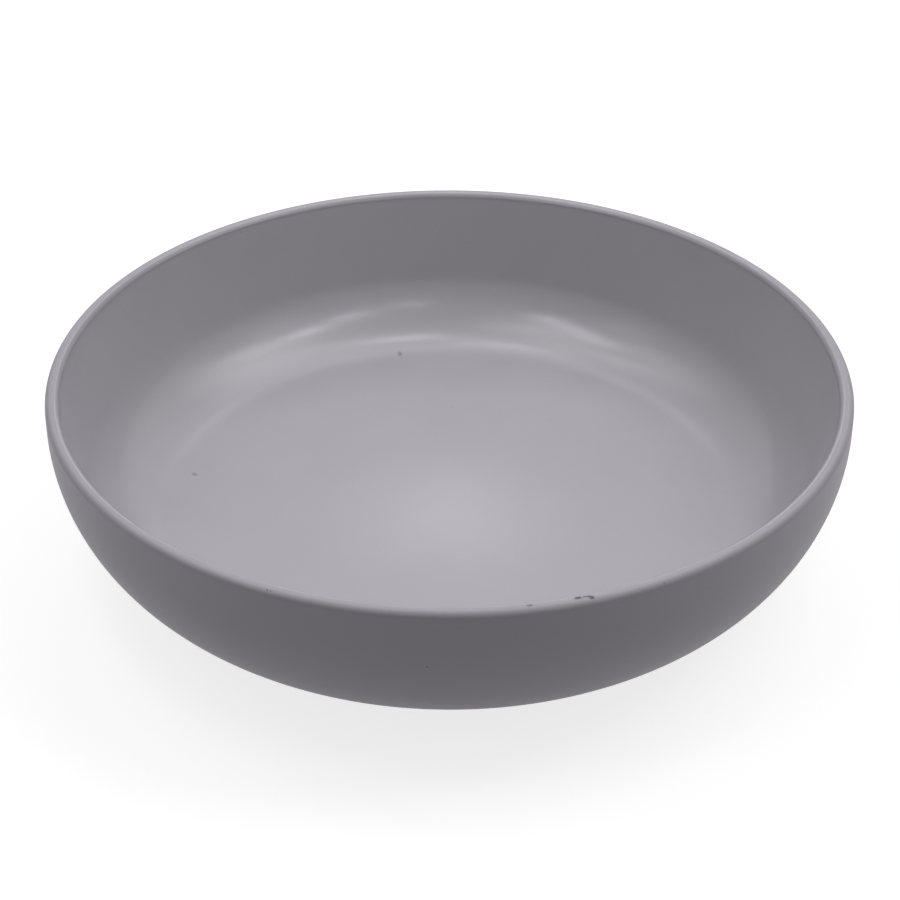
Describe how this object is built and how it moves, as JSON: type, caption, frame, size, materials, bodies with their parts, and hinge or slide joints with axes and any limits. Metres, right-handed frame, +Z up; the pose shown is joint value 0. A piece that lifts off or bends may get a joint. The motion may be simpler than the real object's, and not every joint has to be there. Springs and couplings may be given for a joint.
{
  "type": "bowl",
  "caption": "Shallow round stoneware bowl with steep walls, a soft flat lip, a gently dished floor and a low foot ring, satin inside and matt outside.",
  "frame": {"origin": "on the bowl's axis, at the level of the table, in the plane of the foot ring's underside", "axes": "+Z up along the bowl's axis; X and Y are level and alike, because the bowl is round"},
  "size_m": [0.22, 0.22, 0.056],
  "materials": {
    "bare_clay": "matt",
    "satin_glaze": "satin",
    "matt_glaze": "matt"
  },
  "bodies": {
    "root": {"stoneware_body": "bare_clay", "inner_glaze": "satin_glaze", "outer_glaze": "matt_glaze", "base_glaze": "matt_glaze"}
  },
  "joints": []
}
